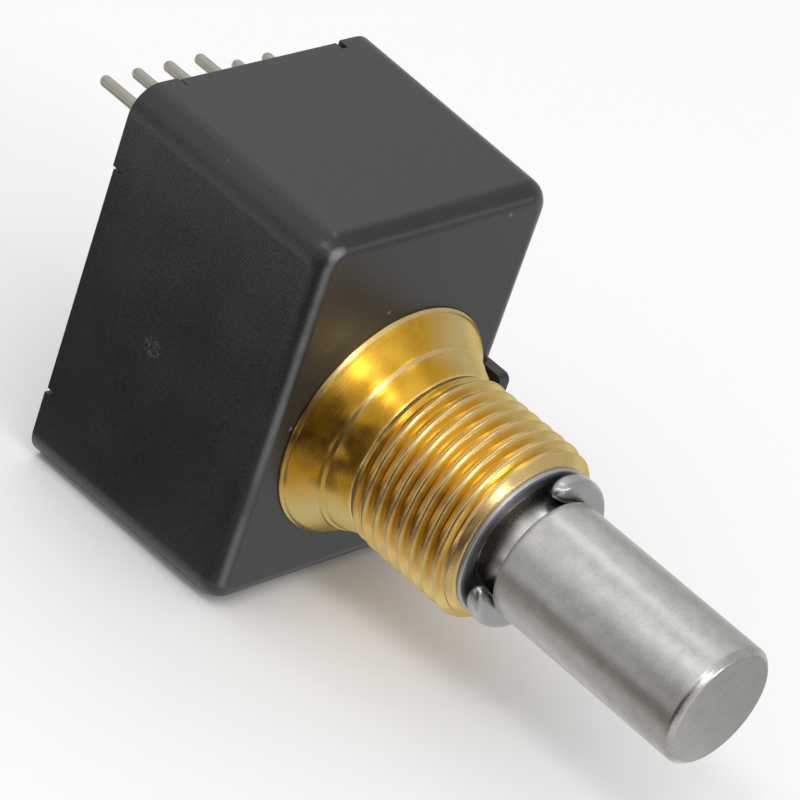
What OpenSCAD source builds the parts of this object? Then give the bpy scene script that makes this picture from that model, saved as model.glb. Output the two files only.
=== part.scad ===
// Panel-mount magnetic rotary encoder: a drafted black housing with a turned brass
// bushing, a steel shaft held by a C-shaped ring, and a sensor board that reads a
// magnet on the shaft's inner end. Millimetres.
//
// Every piece is drawn with the shaft axis on Z and the shaft's tip up. Z = 0 is the
// housing's front face. in_frame() then turns the piece so that the shaft points
// along -Y and the top of the housing faces +Z, with the origin on the shaft axis.

/* [Housing] */
// Width of the housing at its front face
housing_w = 15.1; // [15:0.1:20]
// Height of the housing at its front face
housing_h = 20.4; // [19:0.1:28]
// Depth of the housing behind its front face
housing_d = 12.9; // [12.5:0.1:17]
// How far the shaft axis lies to the right of the housing's middle
axis_right = 0.4; // [0:0.05:0.5]
// How far the shaft axis lies below the housing's middle
axis_below = 1.35; // [0:0.05:2]
// Mould draft of the outside walls, in degrees
draft_deg = 1; // [0:0.1:2]
// Radius of the four long edges
corner_r = 1.5; // [1.1:0.1:2]
// Radius round the front face
edge_r = 1; // [0.4:0.1:1.1]
// Thickness of the side walls behind the board
wall = 1.3; // [1.1:0.05:1.5]
// Thickness of the wall that carries the bushing
front_wall = 1.8; // [1.6:0.1:2]
// Width of the ledge that the board rests on
board_ledge = 0.6; // [0.4:0.1:0.8]

/* [Locating lug] */
// Width of the lug across the panel
lug_w = 3.1; // [2:0.1:4]
// Thickness of the lug
lug_t = 0.65; // [0.6:0.05:1]
// Height of the lug in front of the housing
lug_h = 1.25; // [1:0.05:2]
// Radius of the lug's outer corners
lug_r = 0.4; // [0.2:0.1:0.6]

/* [Rear cover] */
// Thickness of the cover
cover_t = 1.4; // [1.2:0.1:1.6]
// Thickness of the four tabs that lie in the housing's rim
tab_t = 0.6; // [0.4:0.1:0.8]
// Length of the tabs in the top and bottom walls
tab_w = 10; // [8:0.1:10.4]
// Length of the tabs in the side walls
tab_h = 12.4; // [11:0.1:13]
// How far the side tabs lie below the middle of the housing
tab_drop = 0.2; // [0:0.05:0.5]
// Open slot at each end of a tab
tab_gap = 0.2; // [0.15:0.05:0.5]
// How far the tabs stay inside the outer walls
tab_recess = 0.1; // [0.05:0.05:0.2]

/* [Bushing] */
// Length of the bushing in front of the housing
bushing_len = 9.52; // [9:0.01:16]
// Diameter over the thread's crests, for a 3/8-32 thread
thread_d = 9.45; // [9.3:0.01:9.52]
// Where the thread starts, in front of the housing
thread_start = 3.75; // [3.5:0.05:4.5]
// Length of the cone at the bushing's end
end_cone = 0.55; // [0.3:0.05:0.8]
// Diameter of the bushing's end face
end_d = 8.35; // [8:0.05:8.8]
// Diameter of the relief behind the thread
neck_d = 8.6; // [8.3:0.05:8.9]
// Diameter of the flange
flange_d = 12.5; // [12:0.1:12.7]
// How far the flange is sunk in the housing
flange_sunk = 0.8; // [0.6:0.1:1]
// Height of the flange's rim in front of the housing
rim_h = 0.2; // [0.1:0.05:0.3]
// Chamfer along the rim
rim_chamfer = 0.15; // [0.1:0.05:0.2]
// Diameter of the ledge half way down the flange's cone
ledge_d = 10.24; // [9.8:0.01:10.6]
// Width of the ledge
ledge_w = 0.15; // [0.1:0.05:0.3]
// Height of the ledge in front of the housing
ledge_h = 1.75; // [1.5:0.05:2]
// How far the cone below the ledge is hollowed, at its middle
cone_hollow = 0.09; // [0.02:0.01:0.12]
// Diameter where the shoulder above the ledge turns in
shoulder_d = 9.72; // [9.2:0.01:9.9]
// Height of that turn in front of the housing
shoulder_h = 2.1; // [1.9:0.05:2.3]
// Height in front of the housing where the shoulder meets the relief
neck_start = 2.85; // [2.6:0.05:3]
// Diameter of the spigot through the housing wall
spigot_d = 9.2; // [8.8:0.1:9.4]
// Width over the two flats that stop the spigot turning
spigot_flats = 8.3; // [7.8:0.1:8.6]
// Diameter of the collar swaged over the inside of the wall
collar_d = 10.4; // [10:0.1:10.6]
// Length of the collar behind the wall
collar_len = 0.8; // [0.6:0.1:1]

/* [Shaft] */
// Diameter of the shaft
shaft_d = 6.3; // [6:0.01:6.35]
// Length of the shaft in front of the housing
shaft_len = 22.3; // [18:0.1:30]
// Chamfer on the shaft's tip
tip_chamfer = 0.35; // [0.2:0.05:0.6]
// Gap between the shaft and the bushing's bore, all round
running_gap = 0.03; // [0.01:0.01:0.08]
// Diameter of the groove for the ring
groove_d = 5.3; // [5:0.05:5.6]
// Width of the groove for the ring
groove_w = 1.2; // [1:0.05:1.4]

/* [Ring, washers and seal] */
// Outer diameter of the C-shaped ring
ring_d = 8.15; // [7.8:0.05:8.4]
// Thickness of the ring along the shaft
ring_t = 0.85; // [0.7:0.05:0.95]
// Rounding of the ring's outer edges
ring_edge = 0.3; // [0.1:0.05:0.3]
// Angle from the top of the shaft to the middle of the ring's opening
ring_turn = 57; // [0:1:360]
// Opening of the ring, between the centres of its round ends, in degrees
ring_open = 127; // [90:1:150]
// Outer diameter of the front washer
front_washer_d = 8; // [7.8:0.05:8.4]
// Thickness of the front washer
front_washer_t = 0.22; // [0.15:0.01:0.3]
// Outer diameter of the inner washer
inner_washer_d = 8.6; // [8:0.1:9]
// Thickness of the inner washer
inner_washer_t = 0.25; // [0.2:0.05:0.4]
// Gap between the front washer's hole and the shaft, all round
front_washer_gap = 0.25; // [0.05:0.05:0.3]
// Gap between the inner washer's hole and the shaft, all round
inner_washer_gap = 0.1; // [0.05:0.01:0.15]
// End play of the shaft at each washer
end_play = 0.1; // [0.05:0.01:0.15]
// Thickness of the seal's section
seal_t = 0.9; // [0.7:0.05:1]
// Where the seal's groove starts, in front of the housing
seal_at = 0.15; // [0:0.05:0.4]

/* [Magnet] */
// Diameter of the magnet
magnet_d = 6; // [5:0.1:6.2]
// Thickness of the magnet
magnet_t = 2.5; // [2:0.1:3]
// Outer diameter of the magnet's holder
holder_d = 7.8; // [7.4:0.1:9]
// Diameter of the shaft's end that the holder sits on
tail_d = 4; // [3:0.1:5]
// Gap between the magnet and the sensor chip
air_gap = 1; // [0.5:0.1:1.2]

/* [Sensor board] */
// Thickness of the circuit board
board_t = 1; // [0.8:0.1:1.2]
// Length of the sensor chip's body
chip_l = 6.2; // [5:0.1:7]
// Width of the sensor chip's body
chip_w = 5.3; // [4.5:0.1:6]
// Thickness of the sensor chip's body
chip_t = 1.7; // [1.4:0.1:1.8]
// Width over the sensor chip's leads
chip_span = 7.8; // [7:0.1:8]
// Distance from one lead to the next
lead_pitch = 0.65; // [0.5:0.05:0.7]
// Leads along each side of the chip
leads_a_side = 8; // [4:1:8]

/* [Terminals] */
// Number of terminals
terminal_count = 6; // [6:1:6]
// Distance from one terminal to the next
terminal_pitch = 2; // [1.6:0.05:2.05]
// Diameter of a terminal
terminal_d = 0.58; // [0.5:0.01:0.65]
// Length of the terminals behind the housing
terminal_len = 4.4; // [3:0.1:8]
// How far the terminals lie below the top of the housing
terminal_inset = 2.6; // [2.5:0.1:4]
// How far the row lies to the left of the housing's middle
terminal_left = 0.1; // [0:0.05:0.3]
// How much shorter the last two terminals are
pair_shorter = 0.6; // [0:0.1:1]
// How much lower the last two terminals stand
pair_lower = 0.35; // [0:0.05:0.4]
// Thickness of the terminals' header strip
header_t = 1; // [0.8:0.1:1.2]

/* [Hidden] */

$fn = 64;
fit_gap = 0.05;          // between pieces that drop into each other
slip_gap = 0.01;         // between pieces pressed or soldered together
cut = 0.5;               // how far a cutting shape runs past what it cuts
form_fn = 32;            // facets of the moulded outside form
arc_step = 15;           // most degrees between the points of a drawn arc

shaft_r = shaft_d / 2;
thread_r = thread_d / 2;
neck_r = neck_d / 2;
flange_r = flange_d / 2;
ledge_r = ledge_d / 2;
shoulder_r = shoulder_d / 2;
bore_r = shaft_r + running_gap;

// Inside of the housing
cavity_w = housing_w - 2 * wall;
cavity_h = housing_h - 2 * wall;
cavity_r = 0.8;
back_z = -housing_d;
header_z = back_z + cover_t;
board_back_z = header_z + header_t;
board_front_z = board_back_z + board_t;

// Stack along the shaft, from the swaged collar back to the chip
bushing_back_z = -front_wall - collar_len;
shaft_shoulder_z = bushing_back_z - inner_washer_t - end_play;
chip_lift = 0.1;
chip_face_z = board_front_z + chip_lift + chip_t;
magnet_back_z = chip_face_z + air_gap;
magnet_front_z = magnet_back_z + magnet_t;

// Stack along the shaft, in front of the bushing
groove_z = bushing_len + front_washer_t;
ring_z = groove_z + end_play + 0.1;

terminal_r = terminal_d / 2;
terminal_y = axis_below + housing_h / 2 - terminal_inset;
terminal_top = 0.7;      // how far a terminal stands in front of the board

black_plastic = [0.13, 0.13, 0.135];
brass = [0.80, 0.60, 0.22];
steel = [0.70, 0.69, 0.67];
tin = [0.62, 0.60, 0.53];
board_green = [0.05, 0.30, 0.16];

function width_at(depth) = housing_w + 2 * depth * tan(draft_deg);
function height_at(depth) = housing_h + 2 * depth * tan(draft_deg);

// Points of an arc round [x, y], from one angle to another
function arc(x, y, r, from, to) =
    let (steps = ceil(abs(to - from) / arc_step))
    [for (i = [0 : steps]) let (a = from + (to - from) * i / steps) [x + r * cos(a), y + r * sin(a)]];

// Points of a slightly hollow line between p and q, both left out
function hollow_line(p, q, hollow) =
    let (along = (q - p) / norm(q - p), inwards = [-along[1], along[0]], steps = 6)
    [for (i = [1 : steps - 1])
        let (t = i / steps) p + (q - p) * t + inwards * 4 * hollow * t * (1 - t)];

// Place of a terminal, counted from 0 at the left; the last two are a lower pair
function in_pair(i) = i >= terminal_count - 2;
function terminal_at(i) = [
    -axis_right - terminal_left + (i - (terminal_count - 1) / 2) * terminal_pitch,
    terminal_y - (in_pair(i) ? pair_lower : 0)
];

// ---- helpers -----------------------------------------------------------------

module in_frame() {
    rotate([90, 0, 0]) children();
}

module at_middle() {
    translate([-axis_right, axis_below, 0]) children();
}

module at_terminals(first = 0, last = terminal_count - 1) {
    for (i = [first : last]) translate(terminal_at(i)) children();
}

module at_corners(w, h, r) {
    for (x = [-1, 1], y = [-1, 1])
        translate([x * (w / 2 - r), y * (h / 2 - r), 0]) children();
}

// Flat rounded rectangle, made of true circles
module rounded_rect(w, h, r) {
    square([w - 2 * r, h], center = true);
    square([w, h - 2 * r], center = true);
    at_corners(w, h, r) circle(r);
}

module rounded_block(w, h, r, from_z, to_z) {
    translate([0, 0, from_z]) linear_extrude(to_z - from_z) rounded_rect(w, h, r);
}

module ring_of(outer_r, inner_r, from_z, to_z) {
    translate([0, 0, from_z])
        difference() {
            cylinder(r = outer_r, h = to_z - from_z);
            translate([0, 0, -cut]) cylinder(r = inner_r, h = to_z - from_z + 2 * cut);
        }
}

// ---- housing and cover ---------------------------------------------------------

// One corner of the front: an upright post whose top edge is rounded
module front_post() {
    rotate_extrude($fn = form_fn)
        polygon(concat([[0, -edge_r], [0, 0]],
                       arc(corner_r - edge_r, -edge_r, edge_r, 90, 0)));
}

// The outside form, wider at the back than at the front
module housing_form() {
    sliver = 0.01;
    hull() {
        at_corners(housing_w, housing_h, corner_r) front_post();
        translate([0, 0, back_z])
            at_corners(width_at(housing_d), height_at(housing_d), corner_r)
                cylinder(r = corner_r, h = sliver, $fn = form_fn);
    }
}

// Tab that keys the encoder in the panel, just outside the flange
module lug() {
    root = edge_r + lug_r;
    translate([flange_r + fit_gap, 0, 0])
        rotate([90, 0, 90])
            linear_extrude(lug_t)
                translate([0, (lug_h - root) / 2]) rounded_rect(lug_w, lug_h + root, lug_r);
}

// Bars that reach across the housing in the plane of its rim
module rim_bars(reach_w, reach_h, top_w, side_h, depth) {
    at_middle() translate([0, 0, back_z]) {
        translate([-top_w / 2, -reach_h / 2, 0]) cube([top_w, reach_h, depth]);
        translate([-reach_w / 2, -side_h / 2 - tab_drop, 0]) cube([reach_w, side_h, depth]);
    }
}

// Round hole with two flats, in which the spigot can't turn
module spigot_section(gap) {
    intersection() {
        circle(r = spigot_d / 2 + gap);
        square([spigot_flats + 2 * gap, spigot_d + 4 * gap], center = true);
    }
}

module housing() {
    color(black_plastic) in_frame() difference() {
        union() {
            at_middle() housing_form();
            lug();
        }
        at_middle() {
            rounded_block(cavity_w, cavity_h, cavity_r, back_z - cut, board_front_z);
            rounded_block(cavity_w - 2 * board_ledge, cavity_h - 2 * board_ledge, cavity_r,
                          back_z - cut, -front_wall);
        }
        translate([0, 0, -flange_sunk]) cylinder(r = flange_r + slip_gap, h = housing_d);
        translate([0, 0, -housing_d / 2]) linear_extrude(housing_d / 2) spigot_section(slip_gap);
        translate([0, 0, -cut])
            rim_bars(width_at(housing_d) + 2 * cut, height_at(housing_d) + 2 * cut,
                     tab_w + 2 * tab_gap, tab_h + 2 * tab_gap, tab_t + cut);
    }
}

module rear_cover() {
    color(black_plastic) in_frame() difference() {
        union() {
            at_middle()
                rounded_block(cavity_w - 2 * fit_gap, cavity_h - 2 * fit_gap, cavity_r,
                              back_z, header_z);
            rim_bars(width_at(housing_d) - 2 * tab_recess, height_at(housing_d) - 2 * tab_recess,
                     tab_w, tab_h, tab_t);
        }
        translate([0, 0, back_z - cut])
            at_terminals() cylinder(r = terminal_r + fit_gap, h = cover_t + 2 * cut);
    }
}

// ---- bushing and what turns in it -------------------------------------------------

// Turned from bar: swaged collar, spigot, flange with a stepped cone, relief, thread
module bushing_outline() {
    neck_fillet = 0.2;
    collar_bevel = 0.25;
    rim_top = [flange_r - rim_chamfer, rim_h + rim_chamfer];
    ledge = [ledge_r, ledge_h];
    polygon(concat([
        [0, bushing_back_z],
        [collar_d / 2 - collar_bevel, bushing_back_z],
        [collar_d / 2, bushing_back_z + collar_bevel],
        [collar_d / 2, -front_wall],
        [spigot_d / 2, -front_wall],
        [spigot_d / 2, -flange_sunk],
        [flange_r, -flange_sunk],
        [flange_r, rim_h],
        rim_top
    ], hollow_line(rim_top, ledge, cone_hollow), [
        ledge,
        [ledge_r - ledge_w, ledge_h],
        [shoulder_r, shoulder_h],
        [neck_r + neck_fillet, neck_start - neck_fillet],
        [neck_r, neck_start + neck_fillet],
        [neck_r, thread_start - (thread_r - neck_r) / 2],
        [thread_r, thread_start],
        [thread_r, bushing_len - end_cone],
        [end_d / 2, bushing_len],
        [0, bushing_len]
    ]));
}

module bushing() {
    seal_groove_w = seal_t + 4 * fit_gap;
    seal_groove_r = bore_r + seal_t + fit_gap;
    flat_x = spigot_flats / 2;
    color(brass) in_frame() difference() {
        rotate_extrude() bushing_outline();
        translate([0, 0, bushing_back_z - cut])
            cylinder(r = bore_r, h = bushing_len - bushing_back_z + 2 * cut);
        translate([0, 0, seal_at]) cylinder(r = seal_groove_r, h = seal_groove_w);
        for (side = [0, 1])
            mirror([side, 0, 0])
                translate([flat_x, -spigot_d / 2, -front_wall])
                    cube([spigot_d / 2, spigot_d, front_wall - flange_sunk]);
    }
}

module shaft() {
    color(steel) in_frame() rotate_extrude() polygon([
        [0, magnet_front_z],
        [tail_d / 2, magnet_front_z],
        [tail_d / 2, shaft_shoulder_z],
        [shaft_r, shaft_shoulder_z],
        [shaft_r, groove_z],
        [groove_d / 2, groove_z],
        [groove_d / 2, groove_z + groove_w],
        [shaft_r, groove_z + groove_w],
        [shaft_r, shaft_len - tip_chamfer],
        [shaft_r - tip_chamfer, shaft_len],
        [0, shaft_len]
    ]);
}

// Section of the ring, with rounded edges
module ring_section(inner_r, outer_r) {
    r = ring_edge;
    polygon(concat(arc(outer_r - r, r, r, 270, 360),
                   arc(outer_r - r, ring_t - r, r, 0, 90),
                   arc(inner_r + r, ring_t - r, r, 90, 180),
                   arc(inner_r + r, r, r, 180, 270)));
}

// C-shaped spring ring with round ends, sprung into the shaft's groove
module retaining_ring() {
    inner_r = groove_d / 2 + slip_gap;
    outer_r = ring_d / 2;
    end_r = 0.56 * (outer_r - inner_r);
    half_open = ring_open / 2;
    color(steel) in_frame() translate([0, 0, ring_z]) difference() {
        rotate_extrude() ring_section(inner_r, outer_r);
        rotate([0, 0, 90 + ring_turn])
            translate([0, 0, -cut])
                linear_extrude(ring_t + 2 * cut)
                    difference() {
                        polygon(concat([[0, 0]], arc(0, 0, ring_d, -half_open, half_open)));
                        for (side = [-half_open, half_open])
                            rotate(side) translate([(inner_r + outer_r) / 2, 0]) circle(end_r);
                    }
    }
}

module front_washer() {
    color(steel) in_frame()
        ring_of(front_washer_d / 2, shaft_r + front_washer_gap, bushing_len,
                bushing_len + front_washer_t);
}

module inner_washer() {
    color(steel) in_frame()
        ring_of(inner_washer_d / 2, shaft_r + inner_washer_gap,
                bushing_back_z - inner_washer_t, bushing_back_z);
}

module shaft_seal() {
    seal_r = seal_t / 2 - fit_gap / 2;
    color([0.05, 0.05, 0.05]) in_frame()
        translate([0, 0, seal_at + seal_t / 2 + 2 * fit_gap])
            rotate_extrude() translate([bore_r + fit_gap / 2 + seal_r, 0])
                circle(seal_r, $fn = form_fn);
}

// Cup on the shaft's tail, open to the sensor, with the magnet in it
module magnet_holder() {
    color([0.35, 0.35, 0.36]) in_frame() difference() {
        translate([0, 0, magnet_back_z])
            cylinder(r = holder_d / 2, h = shaft_shoulder_z - magnet_back_z);
        translate([0, 0, magnet_front_z - cut])
            cylinder(r = tail_d / 2 + slip_gap, h = shaft_shoulder_z - magnet_front_z + 2 * cut);
        translate([0, 0, magnet_back_z - cut])
            cylinder(r = magnet_d / 2 + slip_gap, h = magnet_t + cut);
    }
}

module magnet() {
    color([0.55, 0.56, 0.58]) in_frame()
        translate([0, 0, magnet_back_z]) cylinder(r = magnet_d / 2, h = magnet_t);
}

// ---- sensor board and terminals ------------------------------------------------------

module circuit_board() {
    board_gap = 0.1;
    color(board_green) in_frame() difference() {
        at_middle()
            rounded_block(cavity_w - 2 * board_gap, cavity_h - 2 * board_gap, cavity_r,
                          board_back_z, board_front_z);
        translate([0, 0, board_back_z - cut])
            at_terminals() cylinder(r = terminal_r + slip_gap, h = board_t + 2 * cut);
    }
}

// Bent lead of the chip: foot on the board, riser, and a shoulder into the body
module chip_lead() {
    lead_w = 0.3;
    lead_t = 0.15;
    foot = 0.6;
    slope = 0.12;
    shoulder_z = chip_lift + chip_t / 2;
    tip_x = chip_span / 2;
    translate([0, lead_w / 2, 0])
        rotate([90, 0, 0])
            linear_extrude(lead_w)
                polygon([
                    [tip_x, 0],
                    [tip_x, lead_t],
                    [tip_x - foot + lead_t, lead_t],
                    [tip_x - foot + lead_t - slope, shoulder_z],
                    [chip_w / 2 - lead_w, shoulder_z],
                    [chip_w / 2 - lead_w, shoulder_z - lead_t],
                    [tip_x - foot - slope, shoulder_z - lead_t],
                    [tip_x - foot, 0]
                ]);
}

module sensor_chip() {
    in_frame() translate([0, 0, board_front_z]) {
        color([0.1, 0.1, 0.1])
            translate([-chip_w / 2, -chip_l / 2, chip_lift]) cube([chip_w, chip_l, chip_t]);
        color(tin)
            for (side = [0, 180], i = [0 : leads_a_side - 1])
                rotate([0, 0, side])
                    translate([0, (i - (leads_a_side - 1) / 2) * lead_pitch, 0]) chip_lead();
    }
}

// Ceramic chip capacitor with a metal cap at each end
module chip_capacitor(length, width, height) {
    cap_len = 0.4;
    cap_skin = 0.03;
    color([0.72, 0.60, 0.42])
        translate([-length / 2, -width / 2, cap_skin]) cube([length, width, height]);
    color(tin)
        for (side = [0, 1])
            mirror([side, 0, 0])
                translate([length / 2 - cap_len, -width / 2 - cap_skin, 0])
                    cube([cap_len + cap_skin, width + 2 * cap_skin, height + 2 * cap_skin]);
}

// The capacitors sit in a row below the chip
capacitor_x = 2;
capacitor_y = -chip_l / 2 - 2;

module supply_capacitor() {
    in_frame() translate([-capacitor_x, capacitor_y, board_front_z])
        chip_capacitor(1.6, 0.8, 0.8);
}

module regulator_capacitor() {
    in_frame() translate([capacitor_x, capacitor_y, board_front_z])
        chip_capacitor(2, 1.25, 1);
}

module terminal_header() {
    header_w = 2;
    end_margin = 0.7;
    length = (terminal_count - 1) * terminal_pitch + 2 * end_margin;
    color(black_plastic) in_frame() difference() {
        translate([-axis_right - terminal_left - length / 2, terminal_y - header_w / 2, header_z])
            cube([length, header_w, header_t]);
        translate([0, 0, header_z - cut])
            at_terminals() cylinder(r = terminal_r + slip_gap, h = header_t + 2 * cut);
    }
}

module solder_fillets() {
    foot_r = 0.5;
    top_r = terminal_r + 0.1;
    height = 0.5;
    color([0.75, 0.75, 0.76]) in_frame() translate([0, 0, board_front_z]) at_terminals()
        difference() {
            cylinder(r1 = foot_r, r2 = top_r, h = height);
            translate([0, 0, -cut]) cylinder(r = terminal_r + slip_gap, h = height + 2 * cut);
        }
}

// Round pin with a domed tip, through the board, the header and the cover
module terminal(i) {
    length = terminal_len - (in_pair(i - 1) ? pair_shorter : 0);
    dome_z = back_z - length + terminal_r;
    color(tin) in_frame() at_terminals(i - 1, i - 1) {
        translate([0, 0, dome_z])
            cylinder(r = terminal_r, h = board_front_z + terminal_top - dome_z);
        translate([0, 0, dome_z]) sphere(terminal_r, $fn = form_fn);
    }
}

// ---- what is drawn --------------------------------------------------------------------

housing();
rear_cover();
bushing();
shaft();
retaining_ring();
front_washer();
inner_washer();
shaft_seal();
magnet_holder();
magnet();
circuit_board();
sensor_chip();
supply_capacitor();
regulator_capacitor();
terminal_header();
solder_fillets();
for (i = [1 : terminal_count])
    terminal(i);
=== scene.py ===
# %% [markdown]
# # A panel-mount rotary encoder
#
# A black moulded housing carries a turned brass bushing. A steel shaft runs through the
# bushing, held by a C-shaped ring, and six pins stand behind the housing.
# The CAD model is loaded first and is the frame for everything: it says where each piece
# is, in metres, with the shaft axis along Y and the shaft's tip towards -Y.

import math

import bmesh
import bpy
from mathutils import Euler, Matrix, Quaternion, Vector


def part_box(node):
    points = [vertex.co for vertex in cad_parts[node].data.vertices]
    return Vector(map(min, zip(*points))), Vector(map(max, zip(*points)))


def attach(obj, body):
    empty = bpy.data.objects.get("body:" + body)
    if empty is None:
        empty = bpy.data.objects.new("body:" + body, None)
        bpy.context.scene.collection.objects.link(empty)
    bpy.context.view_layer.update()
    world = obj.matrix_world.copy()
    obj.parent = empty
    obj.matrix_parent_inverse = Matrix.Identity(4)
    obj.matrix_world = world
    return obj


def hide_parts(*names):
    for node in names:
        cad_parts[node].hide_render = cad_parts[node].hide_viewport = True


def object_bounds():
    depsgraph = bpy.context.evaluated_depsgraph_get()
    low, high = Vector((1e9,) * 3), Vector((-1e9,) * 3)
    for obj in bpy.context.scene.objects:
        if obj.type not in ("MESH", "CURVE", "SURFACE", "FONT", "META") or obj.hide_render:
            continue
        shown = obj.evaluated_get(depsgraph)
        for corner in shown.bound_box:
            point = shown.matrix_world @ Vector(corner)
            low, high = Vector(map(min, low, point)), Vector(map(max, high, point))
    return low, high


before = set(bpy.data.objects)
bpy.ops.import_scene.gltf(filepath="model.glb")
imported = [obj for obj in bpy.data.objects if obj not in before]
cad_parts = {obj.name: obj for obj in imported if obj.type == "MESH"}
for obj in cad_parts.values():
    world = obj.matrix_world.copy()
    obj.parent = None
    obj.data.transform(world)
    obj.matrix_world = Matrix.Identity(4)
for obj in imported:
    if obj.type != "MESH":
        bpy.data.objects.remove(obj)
MM = 0.001
cad_box = [list(corner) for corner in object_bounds()]
print("CAD box, mm:", [[round(c / MM, 2) for c in corner] for corner in cad_box])

# %% [markdown]
# ## Sizes
#
# Sizes are read off the CAD boxes, so a piece built here always lands on its solid.
# "Forward" is the distance in front of the housing's face, towards the shaft's tip, so it
# is minus Y. The few sizes that a box can't tell are named where they are first needed.

# %% Read the sizes from the frame
def forward_range(node):
    low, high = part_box(node)
    return -high.y / MM, -low.y / MM


def radius_of(node):
    low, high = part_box(node)
    return (high.z - low.z) / 2 / MM


SHAFT_R = radius_of("shaft")
SHAFT_BACK, SHAFT_TIP = forward_range("shaft")
FLANGE_R = radius_of("bushing")
BUSHING_BACK, BUSHING_FRONT = forward_range("bushing")
WASHER_BACK, WASHER_FRONT = forward_range("front_washer")
RING_BACK, RING_FRONT = forward_range("retaining_ring")
RING_R = -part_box("retaining_ring")[0].z / MM
GROOVE_PAST_WASHER = 1.2
GROOVE_FRONT = WASHER_FRONT + GROOVE_PAST_WASHER
print("shaft radius", round(SHAFT_R, 2), "from", round(SHAFT_BACK, 2), "to", round(SHAFT_TIP, 2))
print("ring radius", round(RING_R, 2), "from", round(RING_BACK, 2), "to", round(RING_FRONT, 2))

# %% [markdown]
# ## Camera
#
# A long lens about 20 cm away keeps parallel edges nearly parallel. It looks down at the
# front left corner, and is rolled, so that the shaft points to the lower right. A camera
# can follow a target object, but a turn given as three angles is exact and needs no helper.

# %% Place the camera
CAMERA_PLACE = Vector((-142.97, -101.94, 112.43))
CAMERA_TURN = (56.1076, -16.4013, -43.9691)


def put(name, data):
    """Puts a new object into the scene."""
    thing = bpy.data.objects.new(name, data)
    bpy.context.scene.collection.objects.link(thing)
    return thing


camera_data = bpy.data.cameras.new("camera")
camera_data.lens = 204.28
camera_data.sensor_width = 36
camera_data.shift_x = -0.0015
camera_data.shift_y = 0.0031
camera_data.clip_start = 0.01
camera_data.clip_end = 20
camera = put("camera", camera_data)
camera.location = CAMERA_PLACE * MM
camera.rotation_euler = Euler([math.radians(a) for a in CAMERA_TURN])
bpy.context.scene.camera = camera
print("camera at", [round(c / MM, 1) for c in camera.location], "mm")

# %% [markdown]
# ## Lights and floor
#
# Metal shows its surroundings, so the lamps hang as in a small product studio. A large
# softbox is overhead. A long strip on the left draws one bright line down every turned
# surface, and a shorter box beside it makes the middle of that line brighter. Broad, dim
# boxes light the upper side of the shaft, the back and top of the housing, and its left
# side. A lamp's size and distance set how soft it is. A lamp could be turned by hand, but
# here it faces the object from wherever it hangs, unless it is told another side.

# %% Hang the softboxes
def direction(azimuth, elevation):
    """A unit vector away from the object: azimuth 0 is in front, and 90 on the right."""
    a, e = math.radians(azimuth), math.radians(elevation)
    return Vector((math.sin(a) * math.cos(e), -math.cos(a) * math.cos(e), math.sin(e)))


def softbox(name, place, width, length, brightness, side=None, tint=(1, 1, 1)):
    """A rectangular lamp in metres. Its length lies as near to the shaft's way as it can."""
    lamp = bpy.data.lights.new(name, "AREA")
    lamp.shape = "RECTANGLE"
    lamp.size, lamp.size_y = width, length
    lamp.energy = brightness * math.pi * width * length
    lamp.color = tint
    back = (side or place).normalized()
    across = Vector((0, 1, 0)).cross(back).normalized()
    holder = put(name, lamp)
    holder.location = place
    holder.rotation_euler = Matrix((across, back.cross(across), back)).transposed().to_euler()


STRIP_SIDE = Vector((-0.43, 0, 0.90))
DAYLIGHT = (0.95, 0.98, 1.0)
BROAD_DISTANCE = 0.60

softbox("overhead_softbox", Vector((0.00, -0.08, 0.62)), 0.42, 1.15, 0.38, tint=DAYLIGHT)
softbox("strip_softbox", Vector((-0.245, -0.40, 0.52)), 0.09, 1.20, 1.9, STRIP_SIDE)
softbox("shaft_softbox", Vector((-0.34, 0.37, 0.52)), 0.50, 0.24, 0.26)
softbox("middle_softbox", Vector((-0.245, -0.47, 0.52)), 0.09, 0.50, 1.1, STRIP_SIDE)
softbox("back_softbox", direction(140, 45) * BROAD_DISTANCE, 0.46, 0.46, 0.38)
softbox("left_softbox", direction(-112, 46) * BROAD_DISTANCE, 0.34, 0.34, 0.42)

# %% [markdown]
# Five small, bright boxes put the glints on the brass: on the flange, the cone, the neck
# where the cone meets the thread, and the crests. Each hangs where a place on the brass
# mirrors it towards the camera. They differ in little but their direction, so one loop
# hangs them all.

# %% Hang the small boxes
GLINT_DISTANCE = 0.50

glints = [  # name, azimuth, elevation, side in metres, brightness
    ("front_softbox", -8, 27, 0.10, 6.0),
    ("crest_softbox", -19, 36, 0.11, 3.2),
    ("neck_softbox", -51, 54, 0.10, 2.8),
    ("thread_softbox", -90, 60, 0.09, 7.5),
    ("sparkle_lamp", 15, 14, 0.07, 14.0)]
for name, azimuth, elevation, edge, brightness in glints:
    softbox(name, direction(azimuth, elevation) * GLINT_DISTANCE, edge, edge, brightness)

# %% [markdown]
# The world is plain white at two thirds of full strength. It fills the shadows, as the
# walls of a bright room do. With a black world, metal would be black wherever no lamp
# hangs. The Standard view shows each colour as it is written. Like every finish, the world
# is made of nodes, so two helpers that fill a node's inputs by their names come first.

# %% Fill in with the world
def feed(tree, socket, value):
    """Connects an output to a socket, or writes a plain value into it."""
    if isinstance(value, bpy.types.NodeSocket):
        tree.links.new(value, socket)
    else:
        socket.default_value = value


def give(tree, node, **values):
    """Gives each value to the input of that name, or else to the setting. _ is a space."""
    for key, value in values.items():
        label = key.replace("_", " ")
        if label in node.inputs:
            feed(tree, node.inputs[label], value)
        else:
            setattr(node, key, value)
    return node


WORLD_STRENGTH = 0.66

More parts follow.
